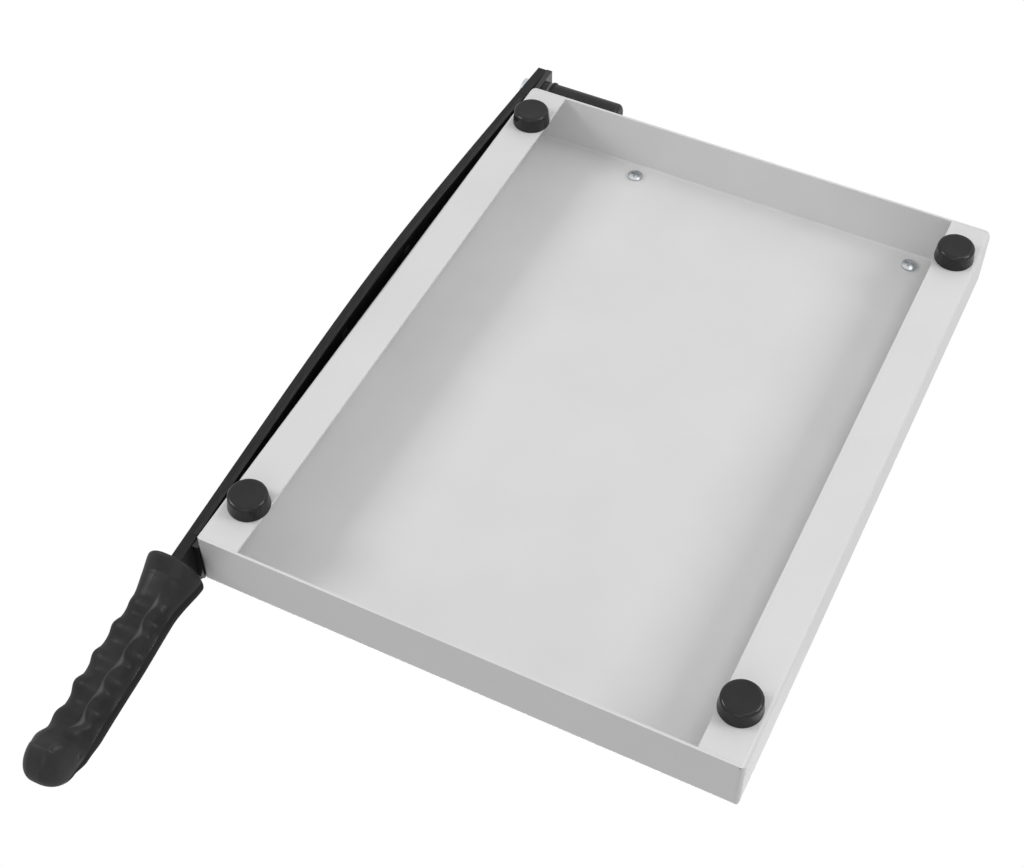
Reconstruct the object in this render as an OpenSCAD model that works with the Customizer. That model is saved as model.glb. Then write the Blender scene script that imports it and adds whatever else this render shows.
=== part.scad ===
// Guillotine paper cutter for A4 sheets: a folded sheet-steel table on four rubber feet,
// a fixed bed knife along its right edge, and a hinged arm that carries the moving blade.
// Axes: X to the right (blade side), Y to the back (pivot end), Z up.
// The origin is the centre of the table's flat top. All lengths are in millimetres.

/* [Table] */
// Width of the table, left to right
table_w = 250; // [200:1:330]
// Depth of the table, front to back
table_l = 327; // [280:1:440]
// Height of the folded tray, from the table top to the underside of its flanges
tray_h = 30.5; // [27:0.5:45]
// Thickness of the steel sheet
sheet_t = 1.2; // [0.8:0.1:1.6]
// Outside radius of the folds
bend_r = 2.0; // [1.8:0.1:3]
// Width of the two flanges turned in under the table
flange_w = 20; // [16:0.2:40]
// Radius of the two front corners, seen from above
front_corner_r = 2.4; // [1.8:0.1:5]
// Radius of the two rear corners, seen from above
rear_corner_r = 4; // [1.8:0.1:6]

/* [Feet] */
// Diameter of a rubber foot where it meets the flange
foot_d = 19; // [14:0.5:23]
// Height of a rubber foot
foot_h = 8; // [6:0.5:14]
// Distance from a foot's centre to the side of the table
foot_inset_x = 11.7; // [10.5:0.1:13]
// Distance from a foot's centre to the front or back of the table
foot_inset_y = 24.9; // [16:0.1:60]
// Diameter of the stem that plugs the foot into the flange
foot_stem_d = 6; // [4:0.1:8]

/* [Bed knife] */
// Thickness of the fixed knife bar
knife_t = 3; // [2:0.1:4]
// Height of the fixed knife bar
knife_h = 22.5; // [20:0.5:26]
// Length of the knife bar behind the table
knife_tail = 25; // [22:0.5:34]
// Number of screws that hold the knife bar
knife_screws_n = 5; // [2:1:8]
// Shank diameter of the knife and ruler screws
screw_d = 4; // [3:0.1:5]

/* [Arm] */
// Thickness of the arm
arm_t = 5; // [4:0.1:7]
// Height of the arm's top edge above the table when closed
arm_crown = 6; // [2:0.5:12]
// Depth of the blade's lowest point below the table when closed
arm_belly = 33.8; // [33:0.1:37]
// Length of the arm behind the pivot
arm_tail = 12.5; // [9:0.1:14]
// Height of the blade strip let into the arm
blade_h = 15; // [10:0.5:18]
// Thickness of the blade strip
blade_t = 2; // [1.5:0.1:2.5]
// Number of rivets in the blade strip
blade_rivets_n = 6; // [2:1:10]

/* [Pivot] */
// Diameter of the pivot bolt
bolt_d = 6; // [5:0.1:7]
// Distance from the back of the table to the pivot
pivot_back = 14; // [12:0.5:16]
// Depth of the pivot below the table top
pivot_drop = 14.5; // [12:0.5:16]
// Diameter of the bolt's head
bolt_head_d = 11.6; // [10:0.1:13]
// Wire diameter of the pivot spring
wire_d = 1.4; // [1:0.1:1.6]
// Outside diameter of the pivot spring
spring_d = 11.4; // [10.8:0.1:11.8]
// Length of the pivot spring
spring_l = 29; // [26:0.5:40]
// Number of coils in the pivot spring
coils_n = 8; // [5:1:10]
// Outside diameter of the sleeve over the spring
sleeve_d = 15; // [14.8:0.1:17]
// Wall thickness of the sleeve
sleeve_wall = 1.4; // [1:0.1:1.5]

/* [Handle] */
// Length of the handle
handle_l = 107; // [105:1:140]
// Width of the handle at its middle
handle_w = 20.8; // [18:0.2:26]
// Height of the handle at its middle
handle_h = 23; // [21:0.5:28]
// Upward tilt of the handle against the table
handle_tilt = 9.4; // [5:0.1:12]
// Distance from the front of the table to the handle
handle_gap = 9.3; // [5:0.1:12]
// Depth of the finger grooves, crest to valley
groove_depth = 2.2; // [0:0.1:3]
// Spacing of the finger grooves
groove_pitch = 14.5; // [12:0.5:18]

/* [Ruler] */
// Length of the ruler that squares the paper
ruler_l = 232; // [180:1:240]
// Depth of the ruler, front to back
ruler_w = 16; // [12:0.5:20]
// Height of the ruler
ruler_h = 7; // [6:0.5:10]
// Distance between the ruler's two screws
ruler_screw_gap = 150.4; // [100:0.2:170]
// Offset of the ruler's screws from the table's centre line, to the left
ruler_screw_shift = 15.7; // [0:0.1:25]

/* [Hidden] */
$fn = 64;

// Clearances and the overrun of every cut
cut = 1;
shear_gap = 0.1;
side_play = 0.2;
run_gap = 0.05;
hole_gap = 0.15;
press_gap = 0.02;
seat_gap = 0.3;

// Levels and faces that several pieces share
x_side = table_w / 2;
y_back = table_l / 2;
z_flange = -tray_h;
x_knife = x_side + knife_t;
x_arm = x_knife + shear_gap;
x_arm_out = x_arm + arm_t;
x_wall = x_side - sheet_t;
pivot_y = y_back + pivot_back;
pivot_z = -pivot_drop;

// Folded tray: relief holes in the folds and the slits that free the flanges' ends
relief_d = 0.9;
relief_slit = 0.3;

// Foot: waist of the sole, edge radius, barb above the flange
foot_taper = 0.6;
foot_edge_r = 1.6;
foot_barb = 1.3;
foot_barb_h = 3;

// Fasteners
screw_head_d = 1.9 * screw_d;
screw_head_h = 0.55 * screw_d;
screw_sink = 0.2;
screw_reach = 1.5;
nut_af = 1.75 * screw_d;
nut_h = 0.8 * screw_d;
cross_w = 0.25 * screw_d;
cross_depth_share = 0.5;
knife_screw_drop = 10;
knife_screw_end = 22;

// Arm: the bow of its lower edge, its shoulders and corners
bow_y = 8;
bow_run = 66;
bow_rise = 5.9;
arm_lift = 0.3;
arm_corner = 1.6;
tail_shoulder = 23;
tail_fall = 9;
neck_low = 8.6;
neck_high = 11.2;
front_shoulder = 3.5;
tang_l = 88;
tang_h = 12;
edge_steps = 36;
bush_wall = 2;
rivet_d = 4;
rivet_head_d = 6.4;
rivet_head_h = 1.1;
blade_end = 5;

// Pivot stack, from the bolt's head inwards
washer_t = 1.2;
washer_d = 12.4;
bolt_head_h = 3.8;
bolt_socket_af = 4;
bolt_socket_h = 2;
spacer_l = 3.4;
seat_t = 0.8;
cup_t = 2;
lock_nut_af = 10;
lock_nut_h = 6;
bolt_spare = 1;
sleeve_gap = 0.4;
sleeve_lip = 0.6;
sleeve_lip_w = 1;
sleeve_edge_r = 2.4;
x_washer = x_arm_out + side_play;
x_head = x_washer + washer_t;
x_spacer = x_side - spacer_l;
x_seat = x_spacer - seat_t;
x_cup = x_seat - spring_l;
x_nut = x_cup - cup_t;
x_bolt_end = x_nut - lock_nut_h - bolt_spare;
x_sleeve = x_seat - sleeve_gap;
x_sleeve_end = x_bolt_end - bolt_spare - sleeve_wall;
sleeve_bore = sleeve_d - 2 * sleeve_wall;
cup_d = sleeve_bore - 2 * run_gap;

// Spring wire, as a helix of straight facets
curl_rings = 8;
wire_sides = 6;
coil_r = (spring_d - wire_d) / 2;
coil_start = x_seat - wire_d / 2 - run_gap;
coil_end = x_cup + wire_d / 2 + run_gap;
coil_pitch = (coil_start - coil_end) / coils_n;

// Handle: stations along its axis as shares of its length, then shares of its size there
handle_y = -y_back - handle_gap;
handle_z = -14.2;
handle_inset = 0.5;
handle_x = x_arm + arm_t / 2 - handle_inset;
handle_rings = 48;
ring_points = 32;
handle_end_r = 11.4;
handle_edge_r = 1.5;
mould_line = -2.5;
keel_half = 3.4;
upper_squareness = 2.6;
lower_squareness = 1.85;
end_squareness_high = 1.62;
end_squareness_wide = 2.42;
groove_start = 19;
groove_stop = 12.3;
groove_fade = 8;
groove_phase = 27.1;
groove_side_share = 0.8;
low_station_share = [0, 0.08, 0.18, 0.38, 0.60, 0.72, 0.82, 0.92];
low_share = [-0.735, -0.522, -0.427, -0.383, -0.490, -0.435, -0.756, -0.964];
high_station_share = [0, 0.09, 0.22, 0.50, 0.72, 0.82, 0.92];
high_share = [0.540, 0.505, 0.538, 0.520, 0.572, 0.404, 0.044];
wide_station_share = [0, 0.20, 0.45, 0.70, 0.82, 0.92];
wide_share = [0.655, 0.476, 0.508, 0.484, 0.512, 0.480];

// Ruler and its screws
ruler_nose = 2.6;
ruler_slope = 7;
ruler_back_gap = 2;
ruler_shift = 1;
ruler_hole_depth = 5;
ruler_y = y_back - ruler_back_gap - ruler_w / 2;

// A solid turned to lie along X, from x outwards, on the pivot's axis or on a line of its own
module along_x(x, y, z) {
    translate([x, y, z]) rotate([0, 90, 0]) children();
}

module on_pivot(x) {
    along_x(x, pivot_y, pivot_z) children();
}

// Hexagonal prism, measured across its flats
module hexagon(flats, h) {
    cylinder(h = h, d = flats / cos(30), $fn = 6);
}

// Two crossed slots for a screwdriver, sunk from z = 0 down
module cross_slots(head_d, depth) {
    for (turn = [0, 90])
        rotate(turn)
            translate([-head_d * 0.3, -cross_w / 2, -depth]) cube([head_d * 0.6, cross_w, depth + cut]);
}

// Outline of a folded sheet section: w wide, from z_low up to z_high, with rounded corners
module folded_section(w, z_low, z_high, r_low, r_high) {
    union() {
        translate([-w / 2 + r_high, z_high - r_high]) square([w - 2 * r_high, r_high]);
        translate([-w / 2, z_low + r_low]) square([w, z_high - z_low - r_high - r_low]);
        if (r_low > 0)
            translate([-w / 2 + r_low, z_low]) square([w - 2 * r_low, r_low]);
        for (side = [-1, 1]) {
            translate([side * (w / 2 - r_high), z_high - r_high]) circle(r = r_high);
            if (r_low > 0)
                translate([side * (w / 2 - r_low), z_low + r_low]) circle(r = r_low);
        }
    }
}

// Box with rounded folds and corners, shrunk by the inset on every side but the open bottom
module folded_box(inset, low) {
    r = bend_r - inset;
    w = table_w - 2 * inset;
    l = table_l - 2 * inset;
    intersection() {
        rotate([90, 0, 0]) linear_extrude(l, center = true) folded_section(w, low, -inset, r, r);
        rotate([90, 0, 90]) linear_extrude(w, center = true) folded_section(l, low, -inset, 0, r);
        translate([0, 0, low]) linear_extrude(-inset - low)
            folded_section(w, -l / 2, l / 2, front_corner_r - inset, rear_corner_r - inset);
    }
}

module each_foot_place() {
    for (sx = [-1, 1], sy = [-1, 1])
        translate([sx * (x_side - foot_inset_x), sy * (y_back - foot_inset_y), z_flange]) children();
}

module each_ruler_screw() {
    for (side = [-1, 1])
        translate([side * ruler_screw_gap / 2 - ruler_screw_shift, ruler_y, 0]) children();
}

// Places of the knife screws along the table's side, each with its axis along X
module each_knife_screw(x) {
    span = table_l - 2 * knife_screw_end;
    for (i = [0 : knife_screws_n - 1])
        along_x(x, -span / 2 + span * i / (knife_screws_n - 1), -knife_screw_drop) children();
}

// Small holes in the folds, and slits between the flanges' ends and the front and back walls
module fold_reliefs() {
    slit_l = flange_w - bend_r;
    for (sx = [-1, 1], sy = [-1, 1]) {
        translate([sx * (x_side - bend_r), sy * (y_back - sheet_t / 2), z_flange + relief_d])
            rotate([90, 0, 0]) cylinder(h = sheet_t + 2 * cut, d = relief_d, center = true);
        translate([sx * (x_side - bend_r - slit_l / 2), sy * (y_back - sheet_t - relief_slit / 2), z_flange])
            cube([slit_l, relief_slit, 3 * sheet_t], center = true);
    }
}

module base_tray() {
    color("gainsboro")
        difference() {
            folded_box(0, z_flange);
            folded_box(sheet_t, z_flange + sheet_t);
            translate([-x_side + flange_w, -y_back + sheet_t, z_flange - cut])
                cube([table_w - 2 * flange_w, table_l - 2 * sheet_t, tray_h / 2]);
            fold_reliefs();
            each_foot_place() translate([0, 0, -cut])
                cylinder(h = sheet_t + 2 * cut, d = foot_stem_d + 2 * hole_gap);
            each_ruler_screw() translate([0, 0, -sheet_t - cut])
                cylinder(h = sheet_t + 2 * cut, d = screw_d + 2 * hole_gap);
            each_knife_screw(x_wall - cut) cylinder(h = sheet_t + 2 * cut, d = screw_d + 2 * hole_gap);
        }
}

// Rubber foot with a rounded sole edge and a barbed stem through the flange
module rubber_foot() {
    sole_r = foot_d / 2 - foot_taper;
    rotate_extrude()
        union() {
            polygon([
                [0, -foot_h], [sole_r - foot_edge_r, -foot_h], [sole_r, -foot_h + foot_edge_r],
                [foot_d / 2, -foot_edge_r], [foot_d / 2, 0], [foot_stem_d / 2, 0],
                [foot_stem_d / 2, sheet_t], [foot_stem_d / 2 + foot_barb, sheet_t + run_gap],
                [foot_stem_d / 2 - foot_barb / 2, sheet_t + foot_barb_h], [0, sheet_t + foot_barb_h]
            ]);
            translate([sole_r - foot_edge_r, -foot_h + foot_edge_r]) circle(r = foot_edge_r);
        }
}

module foot_at(sx, sy) {
    color("dimgray")
        translate([sx * (x_side - foot_inset_x), sy * (y_back - foot_inset_y), z_flange])
            rubber_foot();
}

module foot_front_left() {
    foot_at(-1, -1);
}

module foot_front_right() {
    foot_at(1, -1);
}

module foot_rear_left() {
    foot_at(-1, 1);
}

module foot_rear_right() {
    foot_at(1, 1);
}

// Fixed knife: a ground bar along the table's right side, whose tail carries the pivot bolt
module bed_knife() {
    color("dimgray")
        difference() {
            translate([x_side, -y_back, -knife_h]) cube([knife_t, table_l + knife_tail, knife_h]);
            each_knife_screw(x_side - cut) {
                cylinder(h = knife_t + 2 * cut, d = screw_d + 2 * hole_gap);
                translate([0, 0, cut + knife_t - screw_head_h])
                    cylinder(h = screw_head_h, d1 = screw_d, d2 = screw_head_d + 2 * hole_gap);
            }
            on_pivot(x_side - cut) cylinder(h = knife_t + 2 * cut, d = bolt_d + 2 * run_gap);
        }
}

// Countersunk screws through the knife bar and the side wall
module knife_screws() {
    head_h = screw_head_h - screw_sink;
    reach = knife_t + sheet_t + nut_h + screw_reach;
    color("silver")
        each_knife_screw(x_knife - screw_sink) difference() {
            union() {
                translate([0, 0, -head_h]) cylinder(h = head_h, d1 = screw_d, d2 = screw_head_d - screw_sink);
                translate([0, 0, -reach]) cylinder(h = reach - head_h / 2, d = screw_d);
            }
            cross_slots(screw_head_d, head_h * cross_depth_share);
        }
}

module knife_nuts() {
    color("silver")
        each_knife_screw(x_wall - nut_h) difference() {
            hexagon(nut_af, nut_h);
            translate([0, 0, -cut]) cylinder(h = nut_h + 2 * cut, d = screw_d + 2 * press_gap);
        }
}

// Ruler that squares the paper at the back of the table, with a sloping face for its scale
module paper_ruler() {
    color("silver")
        difference() {
            translate([-ruler_l / 2 + ruler_shift, ruler_y, 0])
                rotate([90, 0, 90])
                    linear_extrude(ruler_l)
                        polygon([
                            [-ruler_w / 2, 0], [ruler_w / 2, 0], [ruler_w / 2, ruler_h],
                            [-ruler_w / 2 + ruler_slope, ruler_h], [-ruler_w / 2, ruler_nose]
                        ]);
            each_ruler_screw() translate([0, 0, -cut])
                cylinder(h = ruler_hole_depth + cut, d = screw_d + 2 * press_gap);
        }
}

// Pan-head screws driven up through the table into the ruler
module ruler_screws() {
    color("silver")
        each_ruler_screw() translate([0, 0, -sheet_t]) difference() {
            union() {
                cylinder(h = ruler_hole_depth + sheet_t - press_gap, d = screw_d);
                intersection() {
                    translate([0, 0, -screw_head_h]) cylinder(h = screw_head_h, d = screw_head_d + 2 * press_gap);
                    translate([0, 0, screw_head_d - screw_head_h]) sphere(r = screw_head_d);
                }
            }
            translate([0, 0, -screw_head_h]) mirror([0, 0, 1])
                cross_slots(screw_head_d, screw_head_h * cross_depth_share);
        }
}

// Pivot bolt: a domed head outside the arm and a long shank through the spring
module pivot_bolt() {
    color("silver")
        difference() {
            union() {
                on_pivot(x_bolt_end) cylinder(h = x_head - x_bolt_end, d = bolt_d);
                intersection() {
                    on_pivot(x_head) cylinder(h = bolt_head_h, d = bolt_head_d);
                    on_pivot(x_head + bolt_head_h - bolt_head_d) sphere(r = bolt_head_d);
                }
            }
            on_pivot(x_head + bolt_head_h - bolt_socket_h) hexagon(bolt_socket_af, bolt_socket_h + cut);
        }
}

module washer(d, t, bore) {
    difference() {
        cylinder(h = t, d = d);
        translate([0, 0, -cut]) cylinder(h = t + 2 * cut, d = bore);
    }
}

module bolt_washer() {
    color("silver") on_pivot(x_washer) washer(washer_d, washer_t, bolt_d + 2 * hole_gap);
}

// Black spacer between the knife bar and the spring's seat
module seat_spacer() {
    color("dimgray") on_pivot(x_spacer) washer(sleeve_d, spacer_l, bolt_d + 2 * hole_gap);
}

module seat_washer() {
    color("silver") on_pivot(x_seat) washer(sleeve_d, seat_t, bolt_d + 2 * hole_gap);
}

module spring_cup() {
    color("silver") on_pivot(x_nut) washer(cup_d, cup_t, bolt_d + 2 * hole_gap);
}

module lock_nut() {
    color("silver")
        on_pivot(x_nut - lock_nut_h) difference() {
            hexagon(lock_nut_af, lock_nut_h);
            translate([0, 0, -cut]) cylinder(h = lock_nut_h + 2 * cut, d = bolt_d + 2 * press_gap);
        }
}

// Point on the spring's centre line after a number of turns, and the ring of wire round it
function coil_point(turns, r, x_off = 0) = [
    coil_start - coil_pitch * turns + x_off,
    pivot_y + r * cos(360 * turns),
    pivot_z + r * sin(360 * turns)
];

function wire_ring(turns) = [
    for (k = [0 : wire_sides - 1])
        coil_point(turns, coil_r + wire_d / 2 * cos(360 * k / wire_sides), wire_d / 2 * sin(360 * k / wire_sides))
];

// Side faces of a tube of n rings, each of m points, as triangles
function tube_sides(n, m) = [
    for (i = [0 : n - 2], k = [0 : m - 1], half = [0, 1])
        half == 0
            ? [i * m + k, (i + 1) * m + k, i * m + (k + 1) % m]
            : [(i + 1) * m + k, (i + 1) * m + (k + 1) % m, i * m + (k + 1) % m]
];

// Compression spring that keeps the moving blade pressed against the bed knife
module pivot_spring() {
    n = coils_n * curl_rings + 1;
    points = [for (i = [0 : n - 1]) each wire_ring(i / curl_rings)];
    caps = concat(
        [for (k = [1 : wire_sides - 2]) [0, k, k + 1]],
        [for (k = [1 : wire_sides - 2]) [(n - 1) * wire_sides, (n - 1) * wire_sides + k + 1, (n - 1) * wire_sides + k]]
    );
    color("silver") polyhedron(points, concat(tube_sides(n, wire_sides), caps));
}

// Black sleeve, closed at its far end, over the spring and the lock nut
module spring_sleeve() {
    len = x_sleeve - x_sleeve_end;
    color("dimgray")
        on_pivot(x_sleeve_end) difference() {
            union() {
                rotate_extrude() union() {
                    polygon([
                        [0, 0], [sleeve_d / 2 - sleeve_edge_r, 0], [sleeve_d / 2, sleeve_edge_r],
                        [sleeve_d / 2, len], [0, len]
                    ]);
                    translate([sleeve_d / 2 - sleeve_edge_r, sleeve_edge_r]) circle(r = sleeve_edge_r);
                }
                translate([0, 0, len - sleeve_lip_w]) cylinder(h = sleeve_lip_w, d = sleeve_d + 2 * sleeve_lip);
            }
            translate([0, 0, sleeve_wall]) cylinder(h = len, d = sleeve_bore);
        }
}

// Height of the blade's lower edge at y: a flat bow whose two ends run out straight
function edge_z(y) = -arm_belly + bow_rise * (sqrt(1 + pow((y - bow_y) / bow_run, 2)) - 1);

// Point (y, z) of the arm's plane for a place s along the handle's axis and h above it
function grip_point(s, h) = [
    handle_y - s * cos(handle_tilt) + h * sin(handle_tilt),
    handle_z + s * sin(handle_tilt) + h * cos(handle_tilt)
];

function bow_points(y0, y1, rise) = [
    for (i = [0 : edge_steps]) let (y = y0 + (y1 - y0) * i / edge_steps) [y, edge_z(y) + rise]
];

// Outline of the arm in the plane of Y and Z, drawn along the lower edge from back to front
function arm_outline() =
    let (
        tail_y = pivot_y + arm_tail,
        low = grip_point(-seat_gap, -neck_low),
        high = grip_point(-seat_gap, neck_high)
    )
    concat(
        [[tail_y, edge_z(tail_y) + arm_corner + arm_lift]],
        bow_points(tail_y - arm_corner, low[0] + arm_corner, arm_lift),
        [
            low,
            grip_point(-seat_gap, -tang_h / 2), grip_point(tang_l, -tang_h / 2),
            grip_point(tang_l, tang_h / 2), grip_point(-seat_gap, tang_h / 2),
            high,
            [-y_back + front_shoulder, arm_crown],
            [tail_y - tail_shoulder, arm_crown],
            [tail_y, arm_crown - tail_fall]
        ]
    );

// Outline of the blade strip, grown by the gap where it sits in the arm
function blade_outline(gap, drop) =
    let (y0 = y_back - blade_end + gap, y1 = -y_back + blade_end - gap)
    concat(
        bow_points(y0, y1, -drop),
        [for (i = [0 : edge_steps]) let (y = y1 + (y0 - y1) * i / edge_steps) [y, edge_z(y) + blade_h + gap]]
    );

// Plate of thickness t from x outwards, cut to an outline in the plane of Y and Z
module plate_yz(x, t, outline) {
    translate([x, 0, 0]) rotate([90, 0, 90]) linear_extrude(t) polygon(outline);
}

module each_rivet(x) {
    span = table_l - 2 * (blade_end + rivet_head_d);
    for (i = [0 : blade_rivets_n - 1]) {
        y = -span / 2 + span * i / (blade_rivets_n - 1);
        along_x(x, y, edge_z(y) + blade_h / 2) children();
    }
}

// Shank and two countersunk heads, from the blade's face to the arm's far face
module rivet(gap, over) {
    translate([0, 0, -over]) cylinder(h = arm_t + 2 * over, d = rivet_d + 2 * gap);
    cylinder(h = rivet_head_h, d1 = rivet_head_d + 2 * gap, d2 = rivet_d + 2 * gap);
    translate([0, 0, arm_t - rivet_head_h])
        cylinder(h = rivet_head_h, d1 = rivet_d + 2 * gap, d2 = rivet_head_d + 2 * gap);
}

// Hinged arm: a steel bar on edge with a recess for the blade and a tang for the handle
module blade_arm() {
    color("dimgray")
        difference() {
            plate_yz(x_arm, arm_t, arm_outline());
            plate_yz(x_arm - cut, cut + blade_t + press_gap, blade_outline(press_gap, cut));
            each_rivet(x_arm) rivet(press_gap, cut);
            on_pivot(x_arm - cut) cylinder(h = arm_t + 2 * cut, d = bolt_d + 2 * bush_wall + 2 * press_gap);
        }
}

// Hardened strip whose lower inner edge shears past the bed knife
module cutting_blade() {
    color("slategray")
        difference() {
            plate_yz(x_arm, blade_t, blade_outline(0, 0));
            each_rivet(x_arm) rivet(press_gap, cut);
        }
}

module blade_rivets() {
    color("gray") each_rivet(x_arm) rivet(0, 0);
}

// Bronze bush pressed into the arm, running on the pivot bolt
module pivot_bush() {
    color("darkgoldenrod")
        on_pivot(x_arm) washer(bolt_d + 2 * bush_wall, arm_t, bolt_d + 2 * run_gap);
}

// Value at s of a smooth line through stations and values, both lists of equal length
function ease(t) = t * t * (3 - 2 * t);
function along(s, stations, values, i = 0) =
    i >= len(stations) - 2 || s <= stations[i + 1]
        ? let (t = max(0, min(1, (s - stations[i]) / (stations[i + 1] - stations[i]))))
            values[i] + (values[i + 1] - values[i]) * ease(t)
        : along(s, stations, values, i + 1);

// Finger wave under the handle: it fades in behind the front flare and out before the end
function groove_wave(s) =
    groove_depth / 2 * cos(360 * (s - groove_phase) / groove_pitch)
    * max(0, min(1, (s - groove_start) / groove_fade))
    * max(0, min(1, (handle_l - groove_stop - s) / groove_fade));

// Half of a rounded end: 1 before the end begins, then down to 0 at the handle's tip
function end_dome(s, n) =
    let (t = max(0, min(1, (s - handle_l + handle_end_r) / handle_end_r)))
    pow(1 - pow(t, n), 1 / n);

// One ring of the handle at s: rounded above the mould line, and cut to a keel below it
function grip_ring(s) =
    let (
        u = min(s, handle_l - handle_end_r) / handle_l,
        dome = end_dome(s, end_squareness_high),
        wave = groove_wave(s),
        edge = s < handle_edge_r ? handle_edge_r - sqrt(pow(handle_edge_r, 2) - pow(handle_edge_r - s, 2)) : 0,
        low = handle_h * along(u, low_station_share, low_share),
        high = handle_h * along(u, high_station_share, high_share),
        centre = (low + high) / 2,
        half_w = handle_w * along(u, wide_station_share, wide_share) * end_dome(s, end_squareness_wide) - edge,
        middle = mould_line * dome + centre * (1 - dome),
        top = centre + (high - centre - edge) * dome,
        bottom = centre + (low + wave - centre + edge) * dome,
        keel = min(keel_half / half_w, 0.7)
    )
    [
        for (k = [0 : ring_points - 1])
            let (
                c = cos(360 * k / ring_points),
                d = sin(360 * k / ring_points),
                upper = d >= 0,
                n = upper ? upper_squareness : lower_squareness,
                out = pow(abs(c), 2 / n),
                x = upper ? half_w * out : half_w * (keel + (1 - keel) * out)
                    - groove_side_share * wave * dome * 2 * abs(c * d),
                h = middle + pow(abs(d), 2 / n) * (upper ? top - middle : bottom - middle),
                p = grip_point(s, h)
            )
            [handle_x + (abs(c) < 1e-6 ? 0 : sign(c) * x), p[0], p[1]]
    ];

// Moulded handle: rings along its axis, closer together over its front edge and its domed end
module grip_body() {
    m = ring_points;
    straight = handle_l - handle_end_r;
    edge_rings = 3;
    dome_rings = 10;
    body_rings = handle_rings - edge_rings - dome_rings;
    stations = concat(
        [for (i = [0 : edge_rings - 1]) handle_edge_r * (1 - cos(90 * i / edge_rings))],
        [for (i = [0 : body_rings - 1]) handle_edge_r + (straight - handle_edge_r) * i / (body_rings - 1)],
        [for (i = [1 : dome_rings]) straight + handle_end_r * sin(87 * i / dome_rings)]
    );
    n = len(stations);
    points = [for (s = stations) each grip_ring(s)];
    caps = concat(
        [for (k = [1 : m - 2]) [0, k, k + 1]],
        [for (k = [1 : m - 2]) [(n - 1) * m, (n - 1) * m + k + 1, (n - 1) * m + k]]
    );
    polyhedron(points, concat(tube_sides(n, m), caps));
}

// Handle moulded round the arm's tang
module handle_grip() {
    color("dimgray")
        difference() {
            grip_body();
            plate_yz(x_arm - press_gap, arm_t + 2 * press_gap, [
                grip_point(-cut, -tang_h / 2 - press_gap), grip_point(tang_l + press_gap, -tang_h / 2 - press_gap),
                grip_point(tang_l + press_gap, tang_h / 2 + press_gap), grip_point(-cut, tang_h / 2 + press_gap)
            ]);
        }
}

// Least gap of the spring wire to itself, measured between its centre line's points
coil_samples = [for (i = [0 : coils_n * curl_rings]) coil_point(i / curl_rings, coil_r)];
spring_self_gap = min([
    for (i = [0 : len(coil_samples) - 1], j = [0 : len(coil_samples) - 1])
        if (j - i >= curl_rings / 2) norm(coil_samples[i] - coil_samples[j]) - wire_d
]);
echo(spring_self_gap = spring_self_gap);

base_tray();
foot_front_left();
foot_front_right();
foot_rear_left();
foot_rear_right();
bed_knife();
knife_screws();
knife_nuts();
paper_ruler();
ruler_screws();
pivot_bolt();
bolt_washer();
seat_spacer();
seat_washer();
pivot_spring();
spring_cup();
lock_nut();
spring_sleeve();
blade_arm();
cutting_blade();
blade_rivets();
pivot_bush();
handle_grip();
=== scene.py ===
# %% [markdown]
# # A guillotine paper cutter
#
# This lesson dresses a finished construction model. The cutter is a tray folded from sheet
# steel, a fixed bed knife screwed along its right side, and a hinged arm with a bowed blade
# and a moulded handle. The photograph that it follows shows it from below, so the underside
# of the tray, its four rubber feet and the lower edge of the arm get the closest look.
#
# The construction model is the frame: every piece is in metres, in one set of axes, with
# +X towards the blade, +Y towards the hinge, +Z up, and the origin in the middle of the
# table's flat top. Nothing here moves or resizes it. The handle, the feet and the spring
# get a finer surface, worked out from the same sizes, and every piece gets a finish.

# %% Load the fixed frame
import math

import bpy
import numpy as np
from mathutils import Matrix, Vector


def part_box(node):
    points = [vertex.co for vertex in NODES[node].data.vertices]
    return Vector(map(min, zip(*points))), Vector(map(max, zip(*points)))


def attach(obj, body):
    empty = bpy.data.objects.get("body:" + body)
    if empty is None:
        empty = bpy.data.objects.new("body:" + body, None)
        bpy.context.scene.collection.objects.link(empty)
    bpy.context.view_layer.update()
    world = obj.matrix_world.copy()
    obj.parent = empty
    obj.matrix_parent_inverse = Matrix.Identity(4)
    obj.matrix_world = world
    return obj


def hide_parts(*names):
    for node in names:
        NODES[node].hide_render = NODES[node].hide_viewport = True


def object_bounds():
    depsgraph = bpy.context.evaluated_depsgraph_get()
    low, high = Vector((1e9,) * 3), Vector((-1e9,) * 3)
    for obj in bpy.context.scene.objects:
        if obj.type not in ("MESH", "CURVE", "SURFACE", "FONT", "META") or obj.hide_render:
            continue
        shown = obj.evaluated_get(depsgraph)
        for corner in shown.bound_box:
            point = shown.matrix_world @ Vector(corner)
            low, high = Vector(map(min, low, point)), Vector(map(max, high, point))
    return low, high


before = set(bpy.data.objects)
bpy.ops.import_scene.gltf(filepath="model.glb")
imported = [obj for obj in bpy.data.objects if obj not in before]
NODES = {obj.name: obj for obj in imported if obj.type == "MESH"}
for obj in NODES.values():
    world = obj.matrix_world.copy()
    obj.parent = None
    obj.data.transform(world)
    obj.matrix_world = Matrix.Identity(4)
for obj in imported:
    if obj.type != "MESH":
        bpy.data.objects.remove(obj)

MM = 0.001
CAD_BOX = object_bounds()
print("the frame's box in mm:", [[round(v / MM, 1) for v in corner] for corner in CAD_BOX])

# %% [markdown]
# ## The camera
#
# The camera comes first, because every later choice is judged through it. Its place was
# solved from the straight edges of the tray: each edge in the photograph is a line, and the
# four corners of a known rectangle fix where the lens was. It looks up from under the front
# left corner, with a moderate telephoto lens, so the far end is only a little smaller.

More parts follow.
